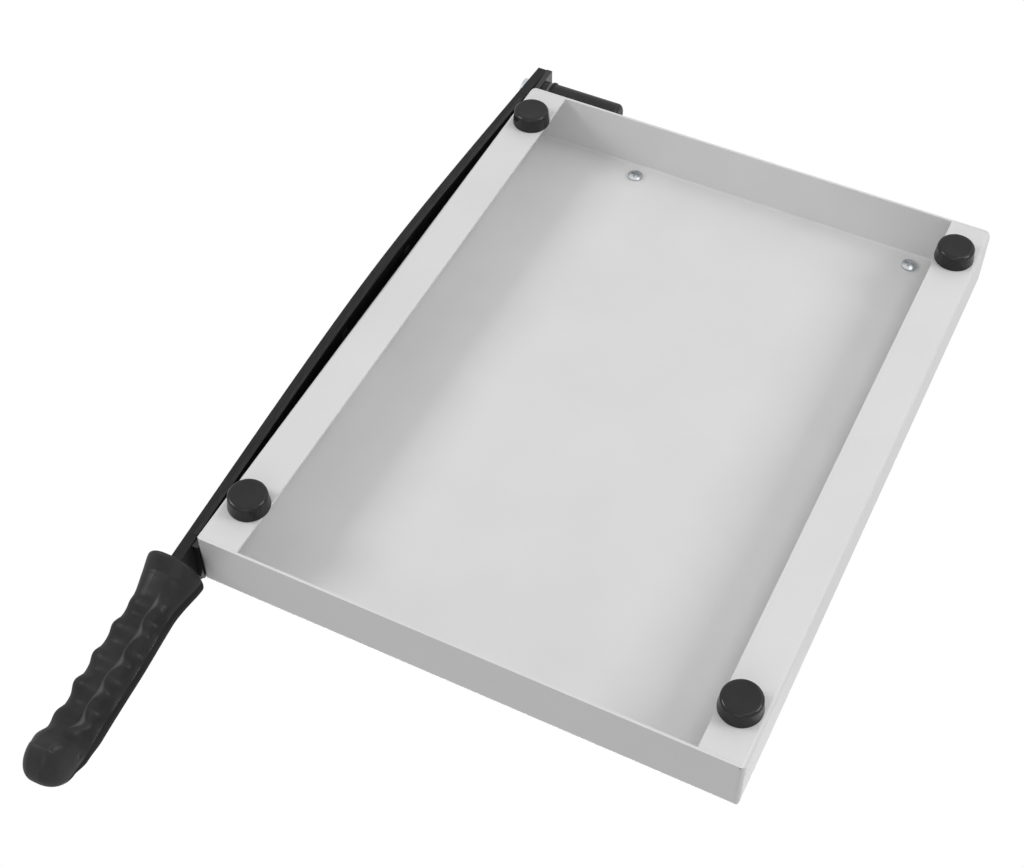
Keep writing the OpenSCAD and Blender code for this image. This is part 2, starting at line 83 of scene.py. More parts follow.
# %% Camera under the front left corner
LENS_PLACE = Vector((-0.194345, -0.497390, -0.639060))
LENS_AIM = Vector((0.284706, 0.565030, 0.774393))
LENS_UP = Vector((0.340657, 0.695462, -0.632681))
FOCAL_LENGTH, SENSOR_WIDTH, NEAREST_SEEN = 62.216, 36.0, 0.01

lens = bpy.data.cameras.new("camera")
lens.lens, lens.sensor_width, lens.clip_start = FOCAL_LENGTH, SENSOR_WIDTH, NEAREST_SEEN
camera = bpy.data.objects.new("camera", lens)
bpy.context.scene.collection.objects.link(camera)
backward = -LENS_AIM.normalized()
rightward = LENS_UP.cross(backward).normalized()
turn = Matrix((rightward, backward.cross(rightward), backward)).transposed()
camera.matrix_world = Matrix.Translation(LENS_PLACE) @ turn.to_4x4()
bpy.context.scene.camera = camera
print("camera", [round(v, 3) for v in camera.location], "lens", round(lens.lens, 1), "mm")

# %% [markdown]
# ## Helpers for shapes
#
# Most new pieces are surfaces on a grid: rows of points, each row a closed ring. A ring is
# joined to the next with quads, and the first and last rings are closed with a flat face.
# One function makes those faces, and one makes the object, rides it on its body and hides
# the construction pieces that it stands for.

# %% Grid to mesh
def ring_faces(rows, columns):
    """Quads between each ring of points and the next, then a flat face over the first ring
    and one over the last. Point c of ring r has the number r * columns + c, and the last
    column joins the first."""
    r = np.arange(rows - 1)[:, None] * columns
    c = np.arange(columns)[None, :]
    after = (c + 1) % columns
    quads = np.stack([r + c, r + after, r + columns + after, r + columns + c], axis=-1)
    last_ring = (rows - 1) * columns
    return [*quads.reshape(-1, 4), range(columns), range(last_ring, last_ring + columns)]


def add_piece(name, points, faces, material, body, stands_for=(), sharp_above=35):
    """Makes a shaded mesh object from points in metres and lists of corner numbers. If the
    signed volume, a sixth of the sum of a . (b x c) over its triangles, is negative, the
    faces are inside out and get turned round."""
    points = np.asarray(points, dtype=float).reshape(-1, 3)
    faces = [list(map(int, face)) for face in faces]
    fans = np.array([(f[0], f[k], f[k + 1]) for f in faces for k in range(1, len(f) - 1)])
    a, b, c = points[fans[:, 0]], points[fans[:, 1]], points[fans[:, 2]]
    if np.einsum("ij,ij->i", a, np.cross(b, c)).sum() < 0:
        faces = [face[::-1] for face in faces]
    mesh = bpy.data.meshes.new(name)
    mesh.from_pydata(points.tolist(), [], faces)
    mesh.shade_smooth()
    mesh.set_sharp_from_angle(angle=math.radians(sharp_above))
    mesh.materials.append(material)
    piece = bpy.data.objects.new(name, mesh)
    bpy.context.scene.collection.objects.link(piece)
    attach(piece, body)
    if stands_for:
        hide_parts(*stands_for)
    print(name, "has", len(fans), "triangles and rides on", body)
    return piece


# %% [markdown]
# ## Helpers for materials
#
# Colours are picked on a screen, as sRGB hex values, but a shader computes with linear
# light. One function turns one into the other. A second one adds a shader node with its
# settings and its links. On top of them, one starts a material, and one lets patterns set
# its colour, gloss and relief, so that each material below reads as a short recipe.

# %% Colour and node helpers
def linear(hex_colour):
    """RGBA in linear light. Each channel c of the hex colour becomes c / 12.92 in the dark,
    and ((c + 0.055) / 1.055) to the power 2.4 above 0.04045."""
    channels = [int(hex_colour[i:i + 2], 16) / 255 for i in (1, 3, 5)]
    light = [c / 12.92 if c <= 0.04045 else ((c + 0.055) / 1.055) ** 2.4 for c in channels]
    return light + [1.0]


def add(tree, kind, inputs=(), **settings):
    """Adds one shader node. settings are the node's own properties, and inputs maps a
    socket's name or number to a value, or to the output socket that feeds it."""
    new = tree.nodes.new("ShaderNode" + kind)
    for name, value in settings.items():
        setattr(new, name, value)
    for name, value in dict(inputs).items():
        if isinstance(value, bpy.types.NodeSocket):
            tree.links.new(value, new.inputs[name])
        else:
            new.inputs[name].default_value = value
    return new


def start_material(name, **sockets):
    """A material with one Principled shader whose sockets have these values, a socket's
    name being written with underscores. Returns material, tree, shader and the output
    that gives the place on the object in metres."""
    material = bpy.data.materials.new(name)
    material.use_nodes = True
    tree = material.node_tree
    tree.nodes.clear()
    named = {key.replace("_", " "): value for key, value in sockets.items()}
    shader = add(tree, "BsdfPrincipled", named)
    add(tree, "OutputMaterial", {"Surface": shader.outputs["BSDF"]})
    return material, tree, shader, add(tree, "TexCoord").outputs["Object"]


def surface(tree, shader, tones, gloss=None, relief=None, film=False):
    """Lets patterns, outputs from 0 to 1, set how a shader looks, and returns its colour.
    tones: a pattern, two values of it, and the dark and the light colour found there.
    gloss: a pattern, and the roughness where it is 0.3 and where it is 0.7.
    relief: a pattern, and the strength and the depth of the bumps that it makes.
    With film, the gloss is that of the shader's clear coat, and the relief is in both."""
    pattern, low, high, dark, light = tones
    ramp = add(tree, "ValToRGB", {"Fac": pattern})
    for stop, place, colour in zip(ramp.color_ramp.elements, (low, high), (dark, light)):
        stop.position, stop.color = place, linear(colour)
    tree.links.new(ramp.outputs["Color"], shader.inputs["Base Color"])
    if gloss:
        pattern, first, last = gloss
        ends = {"From Min": 0.3, "From Max": 0.7, "To Min": first, "To Max": last}
        spread = add(tree, "MapRange", {"Value": pattern, **ends})
        socket = "Coat Roughness" if film else "Roughness"
        tree.links.new(spread.outputs["Result"], shader.inputs[socket])
    if relief:
        pattern, strength, depth = relief
        bump = add(tree, "Bump", {"Strength": strength, "Distance": depth, "Height": pattern})
        for socket in ("Normal", "Coat Normal") if film else ("Normal",):
            tree.links.new(bump.outputs["Normal"], shader.inputs[socket])
    return ramp.outputs["Color"]


def dress(material, *names):
    """Gives construction pieces a material, in every slot that they have."""
    for name in names:
        for slot in NODES[name].material_slots:
            slot.material = material
    print(material.name, "on", ", ".join(names))


# %% [markdown]
# ## Powder-coated sheet steel
#
# The tray is phosphated steel sheet, sprayed with a light grey polyester powder and baked.
# The powder melts into a film about 0.08 mm thick that never levels quite flat, so a
# satin reflection breaks up over an orange peel of about 1.5 mm. The colour itself is
# very even: it drifts by one or two percent over 45 mm, which keeps it from looking dead.
#
# The table's top has a grid printed on the coat, in squares of 10 mm that are counted from
# the cutting edge and from the ruler, with a bolder line at every 50 mm. Ping-pong gives
# the distance to the nearest multiple of the pitch, and a line is where that distance is
# under half the line's width. The print keeps to the top and stops short of its edges.

# %% Powder coat with the printed grid
PEEL_PITCH, SHADE_PITCH = 1.5 * MM, 45 * MM
TABLE_EDGE, RULER_FRONT = 125, 145.5
PRINT_LEFT, PRINT_RIGHT, PRINT_FRONT, PRINT_DEPTH = -117, 118, -156, 0.05
GRID_PITCH_AND_INK = ((10 * MM, 0.3 * MM), (50 * MM, 0.6 * MM))


def printed_lines(tree, coordinate, first, pitch, width):
    """1 on lines of that width, one at first and the rest a pitch apart, and 0 between."""
    shifted = add(tree, "Math", {0: coordinate, 1: first}, operation="SUBTRACT").outputs[0]
    away = add(tree, "Math", {0: shifted, 1: pitch / 2}, operation="PINGPONG").outputs[0]
    return add(tree, "Math", {0: away, 1: width / 2}, operation="LESS_THAN").outputs[0]


def powder_coat():
    material, tree, shader, place = start_material(
        "powder_coated_steel", IOR=1.5, Roughness=0.42
    )
    cloud = add(tree, "TexNoise", {"Vector": place, "Scale": 1 / SHADE_PITCH, "Detail": 4.0})
    peel = add(tree, "TexNoise", {"Vector": place, "Scale": 1 / PEEL_PITCH, "Detail": 2.0})
    drift = cloud.outputs["Fac"]
    coat = surface(
        tree, shader, tones=(drift, 0.3, 0.7, "#d9d9d9", "#dddddd"), gloss=(drift, 0.38, 0.46),
        relief=(peel.outputs["Fac"], 0.3, 0.03 * MM),
    )
    x, y, z = add(tree, "SeparateXYZ", {0: place}).outputs
    ink = 0.0
    for pitch, width in GRID_PITCH_AND_INK:
        for axis, first in ((x, TABLE_EDGE * MM), (y, RULER_FRONT * MM)):
            lines = printed_lines(tree, axis, first, pitch, width)
            ink = add(tree, "Math", {0: ink, 1: lines}, operation="MAXIMUM").outputs[0]
    for axis, side, limit in (
        (z, "GREATER_THAN", -PRINT_DEPTH), (y, "LESS_THAN", RULER_FRONT),
        (y, "GREATER_THAN", PRINT_FRONT), (x, "GREATER_THAN", PRINT_LEFT),
        (x, "LESS_THAN", PRINT_RIGHT),
    ):
        inside = add(tree, "Math", {0: axis, 1: limit * MM}, operation=side).outputs[0]
        ink = add(tree, "Math", {0: ink, 1: inside}, operation="MULTIPLY").outputs[0]
    sockets = {"Factor": ink, "A": coat, "B": linear("#7d8388")}
    printed = add(tree, "Mix", sockets, data_type="RGBA")
    tree.links.new(printed.outputs["Result"], shader.inputs["Base Color"])
    return material


POWDER = powder_coat()
dress(POWDER, "base_tray")

# %% [markdown]
# ## Black stove lacquer
#
# The bed knife and the arm are flat steel bar, ground, dipped in black lacquer and stoved.
# The film is thinner than the tray's powder, and the grain of the rolled bar shows through
# it as a faint texture of about 0.8 mm, with slow patches of about 14 mm. Hands have dulled
# the arm to a satin. The bed knife keeps its gloss, so the end of its tail shows the white
# room as a grey facet. The rivets were set before the arm was lacquered, and match it.

# %% Stove lacquer
BAR_GRAIN, BAR_PATCH = 0.8 * MM, 14 * MM


def stove_lacquer(name, dark, light, sheen, roughness):
    """Black lacquer whose gloss is a clear film of that weight over a dull black."""
    material, tree, shader, place = start_material(
        name, IOR=1.5, Roughness=0.6, Specular_IOR_Level=0.0,
        Coat_Weight=sheen, Coat_Roughness=roughness,
    )
    patch = add(
        tree, "TexNoise",
        {"Vector": place, "Scale": 1 / BAR_PATCH, "Detail": 5.0, "Roughness": 0.6},
    ).outputs["Fac"]
    grain = add(tree, "TexNoise", {"Vector": place, "Scale": 1 / BAR_GRAIN, "Detail": 3.0})
    surface(
        tree, shader, tones=(patch, 0.35, 0.7, dark, light),
        gloss=(patch, roughness - 0.04, roughness + 0.06),
        relief=(grain.outputs["Fac"], 0.3, 0.02 * MM), film=True,
    )
    return material


SATIN_LACQUER = stove_lacquer("black_stove_lacquer", "#252526", "#2d2d2e", 0.3, 0.32)
GLOSS_LACQUER = stove_lacquer("black_gloss_lacquer", "#222223", "#29292a", 0.9, 0.2)
dress(SATIN_LACQUER, "blade_arm", "blade_rivets")
dress(GLOSS_LACQUER, "bed_knife")

# %% [markdown]
# ## Blued blade steel
#
# The cutting blade is a hardened strip, tempered until it has a thin dark oxide, grey with
# a trace of blue, and then surface ground. Grinding leaves straight scratches along the
# blade, so the noise is stretched along Y: its scale is divided by forty there before it
# is read. Real scratches are finer than the 0.35 mm used here, which is what still shows.

# %% Blade steel
SCRATCH_PITCH, SCRATCH_STRETCH = 0.35 * MM, 40


def blade_steel():
    material, tree, shader, place = start_material(
        "blued_ground_steel", Metallic=1.0, Roughness=0.35
    )
    along = add(tree, "Mapping", {"Vector": place, "Scale": (1.0, 1 / SCRATCH_STRETCH, 1.0)})
    scratches = add(
        tree, "TexNoise",
        {"Vector": along.outputs["Vector"], "Scale": 1 / SCRATCH_PITCH, "Detail": 4.0},
    ).outputs["Fac"]
    surface(
        tree, shader, tones=(scratches, 0.3, 0.75, "#28282a", "#3f4041"),
        gloss=(scratches, 0.42, 0.26), relief=(scratches, 0.25, 0.02 * MM),
    )
    return material


dress(blade_steel(), "cutting_blade")

# %% [markdown]
# ## Small metal parts
#
# Screws, nuts, washers and the bolt are turned or pressed steel with a bright zinc plate.
# Plating is a crystalline film: it is never a mirror, it has patches a few millimetres
# wide, and a speckle breaks its gloss. The crystals are too fine to show, so the speckle
# is drawn at 0.3 mm. The spring is drawn wire, darker and oiled. The bush is sintered
# bronze, whose pores hold oil, so it is speckled too. The washer at the pivot's seat is
# zinc plated, drawn in a darker grey than the other zinc parts. One recipe makes all four
# from their own colours and speckle.

# %% Plated, drawn and sintered metal
def small_metal(name, dark, light, patch, speckle, roughness):
    """A metal whose colour drifts over patches and whose gloss is broken by a speckle,
    both given by their pitch in metres."""
    material, tree, shader, place = start_material(name, Metallic=1.0, Roughness=roughness)
    drift = add(tree, "TexNoise", {"Vector": place, "Scale": 1 / patch, "Detail": 3.0})
    pores = add(tree, "TexNoise", {"Vector": place, "Scale": 1 / speckle, "Detail": 2.0})
    surface(
        tree, shader, tones=(drift.outputs["Fac"], 0.3, 0.7, dark, light),
        gloss=(pores.outputs["Fac"], roughness - 0.06, roughness + 0.08),
        relief=(pores.outputs["Fac"], 0.2, 0.02 * MM),
    )
    return material


ZINC = small_metal("bright_zinc_plate", "#b4b7ba", "#cdd0d2", 4 * MM, 0.3 * MM, 0.26)
WIRE = small_metal("oiled_spring_wire", "#5c5c5e", "#77777a", 3 * MM, 0.25 * MM, 0.34)
BRONZE = small_metal("sintered_bronze", "#9c7a45", "#b8935a", 2 * MM, 0.3 * MM, 0.42)
# A darker copy of the zinc plate, for the washer at the pivot's seat.
DARKER_ZINC = small_metal("darker_zinc_plate", "#5f6061", "#777879", 4 * MM, 0.3 * MM, 0.3)
dress(
    ZINC, "knife_screws", "knife_nuts", "ruler_screws", "pivot_bolt", "bolt_washer",
    "spring_cup", "lock_nut",
)
dress(DARKER_ZINC, "seat_washer")
dress(BRONZE, "pivot_bush")

# %% [markdown]
# ## Anodised aluminium
#
# The ruler is an extrusion, etched and anodised to a soft silver. Extrusion draws fine
# lines along its length, so this noise is stretched sixty times along X. The lines are
# drawn 0.4 mm apart, coarser than real ones, so that they show.

# %% Anodised ruler
DRAWN_PITCH, DRAWN_STRETCH = 0.4 * MM, 60


def anodised_aluminium():
    material, tree, shader, place = start_material(
        "anodised_aluminium", Metallic=1.0, Roughness=0.4
    )
    along = add(tree, "Mapping", {"Vector": place, "Scale": (1 / DRAWN_STRETCH, 1.0, 1.0)})
    lines = add(
        tree, "TexNoise",
        {"Vector": along.outputs["Vector"], "Scale": 1 / DRAWN_PITCH, "Detail": 3.0},
    ).outputs["Fac"]
    surface(
        tree, shader, tones=(lines, 0.3, 0.7, "#c2c4c6", "#d3d5d6"),
        gloss=(lines, 0.34, 0.46), relief=(lines, 0.2, 0.02 * MM),
    )
    return material


dress(anodised_aluminium(), "paper_ruler")

# %% [markdown]
# ## Moulded black plastic and rubber
#
# The handle and the spring's sleeve are injection moulded ABS, and the feet are moulded
# rubber. All of them take their surface from the mould, which is spark eroded: an even
# grain, drawn here about 0.45 mm apart so that it shows, with slow patches of 9 mm. A dull
# black lies under a clear film, whose weight says how much of the white room it reflects.
#
# The handle's film follows an attribute of its mesh: it lies below the mould line, where
# the hand polishes the plastic, and is thinner under the palm than at both ends. A second
# attribute paints a highlight: a lighter colour along the keel's left edge.

# %% Moulded black
MOULD_PATCH = 9 * MM


def moulded_black(name, dark, light, grain_pitch, roughness, sheen, painted_highlight_colour=None):
    """Black with a moulded grain, given by its pitch in metres, and slow patches. Its
    gloss is a clear film of the weight sheen. A lighter colour, a painted highlight, goes
    where the mesh's painted ridge highlight is 1, and the film then grows with the mesh's
    polish, from nearly none to sheen."""
    material, tree, shader, place = start_material(
        name, IOR=1.5, Roughness=0.6, Specular_IOR_Level=0.0,
        Coat_Weight=sheen, Coat_Roughness=roughness,
    )
    patch = add(
        tree, "TexNoise",
        {"Vector": place, "Scale": 1 / MOULD_PATCH, "Detail": 4.0, "Roughness": 0.6},
    ).outputs["Fac"]
    grain = add(tree, "TexNoise", {"Vector": place, "Scale": 1 / grain_pitch, "Detail": 2.0})
    colour = surface(
        tree, shader, tones=(patch, 0.3, 0.7, dark, light),
        gloss=(patch, roughness - 0.05, roughness + 0.05),
        relief=(grain.outputs["Fac"], 0.3, 0.02 * MM), film=True,
    )
    # A lighter colour painted along the keel's edge as a highlight, where the mesh says.
    if painted_highlight_colour:
        painted_ridge_highlight = add(tree, "Attribute", attribute_name="painted_ridge_highlight").outputs["Fac"]
        sockets = {"Factor": painted_ridge_highlight, "A": colour, "B": linear(painted_highlight_colour)}
        with_painted_highlight = add(tree, "Mix", sockets, data_type="RGBA")
        tree.links.new(with_painted_highlight.outputs["Result"], shader.inputs["Base Color"])
        polish = add(tree, "Attribute", attribute_name="polish").outputs["Fac"]
        coat = add(tree, "MapRange", {"Value": polish, "To Min": 0.02, "To Max": sheen})
        tree.links.new(coat.outputs["Result"], shader.inputs["Coat Weight"])
    return material


# The light grey #585859 is a highlight painted along the keel's left edge.
HANDLE_ABS = moulded_black(
    "moulded_abs_handle", "#292929", "#333334", 0.45 * MM, 0.33, 0.5, painted_highlight_colour="#585859"
)
SLEEVE_ABS = moulded_black("moulded_abs_sleeve", "#232324", "#2d2d2e", 0.4 * MM, 0.28, 0.45)
FOOT_RUBBER = moulded_black("moulded_rubber", "#1f1f20", "#262627", 0.5 * MM, 0.12, 0.55)
dress(SLEEVE_ABS, "spring_sleeve", "seat_spacer")

# %% [markdown]
# ## The handle
#
# The handle is moulded round the arm's tang. Seen from the side it is a finger grip with
# a flared front, waves below for the fingers, and an end that droops a little, so that the
# hand can't slip off. Across, it is round above the mould line and cut to a keel below it,
# and that keel's edge is the wavy bright line in the photograph.
#
# It is made as rings along the handle's own axis. Lengths along it are s, heights above
# it h, both in millimetres. The construction model has the same formula with few faces.
# This one adds fine rings, the sway of the keel's edges, the mould's parting line and the
# dimples of its locating pins.

# %% Handle sizes
HANDLE_LENGTH, HANDLE_WIDTH, HANDLE_HEIGHT = 107.0, 20.2, 23.0
HANDLE_TILT = math.radians(9.4)
HANDLE_START = (130.35, -172.8, -14.2)
END_LENGTH, END_POWER_ACROSS, END_POWER_UP, EDGE_ROUND = 11.4, 2.42, 1.62, 1.5
UPPER_POWER, LOWER_POWER, MOULD_LINE_H = 2.6, 1.85, -2.5
KEEL_HALF, KEEL_SWAY, KEEL_CREASE, KEEL_LARGEST_SHARE = 2.7, 0.75, 2.6, 0.7
GROOVE_DEPTH, GROOVE_PITCH, GROOVE_PHASE, GROOVE_IN_FLANK = 2.2, 14.5, 27.1, 0.8
GROOVES_ALONG = (19, 8, 12.3, 8)

# Lines along the handle, as stations in shares of its length and values in shares of its
# height or width: its lower and upper outline seen from the side, and its half width.
LOWER = (
    [0, 0.08, 0.18, 0.38, 0.60, 0.72, 0.82, 0.92],
    [-0.735, -0.522, -0.427, -0.383, -0.490, -0.435, -0.756, -0.964],
)
UPPER = (
    [0, 0.09, 0.22, 0.50, 0.72, 0.82, 0.92],
    [0.540, 0.505, 0.538, 0.520, 0.566, 0.404, 0.120],
)
WIDE = ([0, 0.20, 0.45, 0.70, 0.82, 0.92], [0.655, 0.476, 0.508, 0.484, 0.512, 0.480])
print("the handle is", HANDLE_LENGTH, "mm long, with a finger groove every", GROOVE_PITCH, "mm")


def smooth_line(u, line):
    """Value at u of a line through (station, value) pairs. Between two stations the share t
    of the way is eased to t * t * (3 - 2 * t), so the line is flat at every station."""
    stations, values = np.array(line[0], float), np.array(line[1], float)
    i = np.clip(np.searchsorted(stations, u, side="right") - 1, 0, len(stations) - 2)
    t = np.clip((u - stations[i]) / (stations[i + 1] - stations[i]), 0, 1)
    return values[i] + (values[i + 1] - values[i]) * t * t * (3 - 2 * t)


def end_dome(s, power):
    """1 along the handle, then (1 - t ** power) ** (1 / power) over the end's length."""
    t = np.clip((s - HANDLE_LENGTH + END_LENGTH) / END_LENGTH, 0, 1)
    return (1 - t ** power) ** (1 / power)


def grip_only(s, front, rise, back, fall):
    """0 up to front, then a straight rise to 1, and a straight fall to 0 that ends the
    length back before the handle's end."""
    return np.clip((s - front) / rise, 0, 1) * np.clip((HANDLE_LENGTH - back - s) / fall, 0, 1)


def finger_wave(s):
    """A cosine: 1 in the middle of each finger groove and -1 on each crest between two."""
    return np.cos(2 * np.pi * (s - GROOVE_PHASE) / GROOVE_PITCH)


# %% [markdown]
# A ring is made of two superellipses that meet at the mould line: x follows cos to the
# power 2 / n and h follows sin to the power 2 / n, with n = 2.6 above and 1.85 below. The
# lower one starts from the keel's flat, 2.7 mm each side of the middle. The finger wave
# moves the lower half only: up and down at the keel, in and out on the flanks. The keel
# is wider on the crests between the fingers, so its two edges sway.

# %% Handle surface
def handle_rings(s, angle):
    """Points of the handle, one ring for each s, one point in it for each angle."""
    u = np.minimum(s, HANDLE_LENGTH - END_LENGTH) / HANDLE_LENGTH
    wave = GROOVE_DEPTH / 2 * finger_wave(s) * grip_only(s, *GROOVES_ALONG)
    into = np.clip(EDGE_ROUND - s, 0, None)
    edge = np.where(s < EDGE_ROUND, EDGE_ROUND - np.sqrt(EDGE_ROUND ** 2 - into ** 2), 0)
    low, high = HANDLE_HEIGHT * smooth_line(u, LOWER), HANDLE_HEIGHT * smooth_line(u, UPPER)
    half_w = HANDLE_WIDTH * smooth_line(u, WIDE) * end_dome(s, END_POWER_ACROSS) - edge
    dome, centre = end_dome(s, END_POWER_UP), (low + high) / 2
    middle = MOULD_LINE_H * dome + centre * (1 - dome)
    top = centre + (high - centre - edge) * dome
    bottom = centre + (low + wave - centre + edge) * dome
    keel = np.minimum((KEEL_HALF - KEEL_SWAY * wave) / half_w, KEEL_LARGEST_SHARE)

    half_w, middle, top, bottom, keel, wave, dome = (
        v[:, None] for v in (half_w, middle, top, bottom, keel, wave, dome)
    )
    c, d = np.cos(angle)[None], np.sin(angle)[None]
    upper = d >= 0
    power = 2 / np.where(upper, UPPER_POWER, LOWER_POWER)
    out = np.abs(c) ** power
    x = half_w * np.where(upper, out, keel + (1 - keel) * out)
    x = x - np.where(upper, 0, GROOVE_IN_FLANK * wave * dome * 2 * np.abs(c * d))
    x = np.where(np.abs(c) < 1e-6, 0, np.sign(c) * x)
    h = middle + np.abs(d) ** power * np.where(upper, top - middle, bottom - middle)
    h = h + np.where(upper, 0, KEEL_CREASE * dome * out * (1 - out) ** 3)
    return x, h


def keel_columns(values, angle, shares):
    """The same rings with more points across the keel's flat, which lies between the
    columns on either side of three quarters of a turn. Each share is how far a point is
    from the middle to either of them, so that the shading stays flat up to the edge."""
    middle = int(np.argmin(np.abs(angle - 1.5 * np.pi)))
    left, centre, right = (values[:, [middle + step]] for step in (-1, 0, 1))
    flat = [centre + share * (left - centre) for share in reversed(shares)]
    flat += [centre] + [centre + share * (right - centre) for share in shares]
    return np.concatenate([values[:, :middle], *flat, values[:, middle + 1:]], axis=1)


# %% [markdown]
# The mould leaves marks of its own. Its two halves meet along both flanks, in a parting
# line with a small ridge on either side, and the pins that hold the tang in it leave round
# hollows. Both move the surface itself, so they are in the mesh.

# %% Marks of the mould
RIDGE_OFF, RIDGE_PROUD, RIDGE_HALF, FLANK_X = 0.9, 0.12, 0.25, 5
RIDGES_ALONG = (18, 8, 18, 8)
DIMPLES, DIMPLE_DEPTH = ((89.5, -6.2, 1.3), (82.0, -6.0, 1.0)), 0.3


def parting_line(x, h, s):
    """The parting line on both flanks: two ridges 0.12 mm proud and 0.5 mm wide, 0.9 mm
    above and below the mould line, that fade in behind the flare and out before the end."""
    off = np.abs(h - MOULD_LINE_H) - RIDGE_OFF
    ridge = RIDGE_PROUD * np.exp(-(off / RIDGE_HALF) ** 2) * grip_only(s, *RIDGES_ALONG)[:, None]
    return x + np.where(np.abs(x) > FLANK_X, np.sign(x) * ridge, 0)


def locating_dimples(x, h, s):
    """Two round hollows 0.3 mm deep that the mould's locating pins leave on the left flank,
    each at its own s and h, with its own radius."""
    for centre_s, centre_h, radius in DIMPLES:
        away = np.hypot(s[:, None] - centre_s, h - centre_h) / radius
        x = x + np.where(x < 0, DIMPLE_DEPTH * np.exp(-away ** 4), 0)
    return x


# %% [markdown]
# Two numbers at each point of the surface go with the mesh, and the material reads them.
# The painted ridge highlight is a lighter colour painted along the keel's left edge as a
# highlight. Polish is how strong the clear film is: hands have polished the lower half,
# and the upper half keeps the mould's dull grain.

# %% Painted highlight and polish of the handle
# How wide and how strong the highlight painted along the keel's left edge is.
HIGHLIGHT_HALF, HIGHLIGHT_HALF_ADDED_ON_CREST = 0.045, 0.06
HIGHLIGHT_IN_GROOVE, HIGHLIGHT_ADDED_ON_CREST = 0.45, 0.55
HIGHLIGHT_ALONG = (14, 5, 22, 6)
POLISH_RAMP = 1.5
POLISH_ALONG = ([17, 23, 86, 92], [0.6, 0.4, 0.4, 0.75])


def keel_wear(s, angle):
    """How strong the highlight painted along the keel's left edge is, 0 to 1. Across, it is
    a bell on |cos| ** (2 / 1.85), which is 0 at the keel's edge and 1 at the mould line,
    and its middle is one and a half times its own half width from that edge. Along, it is
    widest and brightest on the crests between the finger grooves."""
    crest = 0.5 - 0.5 * finger_wave(s)
    across = np.abs(np.cos(angle))[None] ** (2 / LOWER_POWER)
    half = (HIGHLIGHT_HALF + HIGHLIGHT_HALF_ADDED_ON_CREST * crest ** 2)[:, None]
    bell = np.where(across > 1e-6, np.exp(-((across - 1.5 * half) / half) ** 2), 0)
    left_low = (np.cos(angle) < 0) & (np.sin(angle) < 0)
    amount = grip_only(s, *HIGHLIGHT_ALONG) * (HIGHLIGHT_IN_GROOVE + HIGHLIGHT_ADDED_ON_CREST * crest)
    return bell * left_low[None] * amount[:, None]


def lower_polish(s, h):
    """How strong the clear film is, 0 to 1. It starts at the parting line's upper ridge,
    reaches its full strength 1.5 mm lower, and follows a line of s along the handle."""
    below = np.clip((MOULD_LINE_H + RIDGE_OFF - h) / POLISH_RAMP, 0, 1)
    return below * np.interp(s, POLISH_ALONG[0], POLISH_ALONG[1])[:, None]


# %% [markdown]
# A superellipse turns sharply where it meets the mould line, so the rings get more points
# there. The rings themselves crowd together over the front edge's arc and over the end.

# %% The handle itself
POINTS_ROUND, EDGE_RINGS, GRIP_RINGS, END_RINGS, END_STOPS_AT = 160, 9, 190, 46, 87
FLAT_SHARES = (0.35, 0.7, 0.9, 0.97)

near_mould = np.radians(
    [0.02, 0.06, 0.12, 0.2, 0.32, 0.5, 0.7, 0.95, 1.25, 1.6, 2.0, 2.6, 3.3, 4.1]
)
near_mould = np.concatenate([near_mould, -near_mould, np.pi + near_mould, np.pi - near_mould])
angles = np.concatenate([np.linspace(0, 2 * np.pi, POINTS_ROUND, endpoint=False), near_mould])
angles = np.unique(np.mod(angles, 2 * np.pi).round(9))
straight = HANDLE_LENGTH - END_LENGTH
stations = np.concatenate([
    EDGE_ROUND * (1 - np.cos(np.linspace(0, np.pi / 2, EDGE_RINGS)[:-1])),
    np.linspace(EDGE_ROUND, straight, GRIP_RINGS),
    straight + END_LENGTH * np.sin(np.radians(np.linspace(0, END_STOPS_AT, END_RINGS)[1:])),
])
x, h = handle_rings(stations, angles)
x = locating_dimples(parting_line(x, h, stations), h, stations)
x, h = (keel_columns(values, angles, FLAT_SHARES) for values in (x, h))
# The highlight painted along the keel's left edge, none on the keel's flat.
painted_ridge_highlight = keel_columns(keel_wear(stations, angles), angles, [0] * len(FLAT_SHARES))
cosine, sine = math.cos(HANDLE_TILT), math.sin(HANDLE_TILT)
handle_points = MM * np.stack([
    HANDLE_START[0] + x,
    HANDLE_START[1] - stations[:, None] * cosine + h * sine,
    HANDLE_START[2] + stations[:, None] * sine + h * cosine,
], axis=-1)
handle = add_piece(
    "handle", handle_points, ring_faces(*x.shape), HANDLE_ABS, "arm",
    ["handle_grip"], 50,
)
for name, amount in (("painted_ridge_highlight", painted_ridge_highlight), ("polish", lower_polish(stations, h))):
    attribute = handle.data.attributes.new(name, "FLOAT", "POINT")
    attribute.data.foreach_set("value", amount.ravel())

# %% [markdown]
# ## Powder in the fold slits
#
# A slit 0.3 mm wide frees each flange's end from the front or back wall, so that the sheet
# can be folded. The coat bridges so narrow a gap: powder lies in it to just below the
# flange's face, and only a faint line is left to see. It is made as four thin boxes, one
# box mirrored across the table and along it.

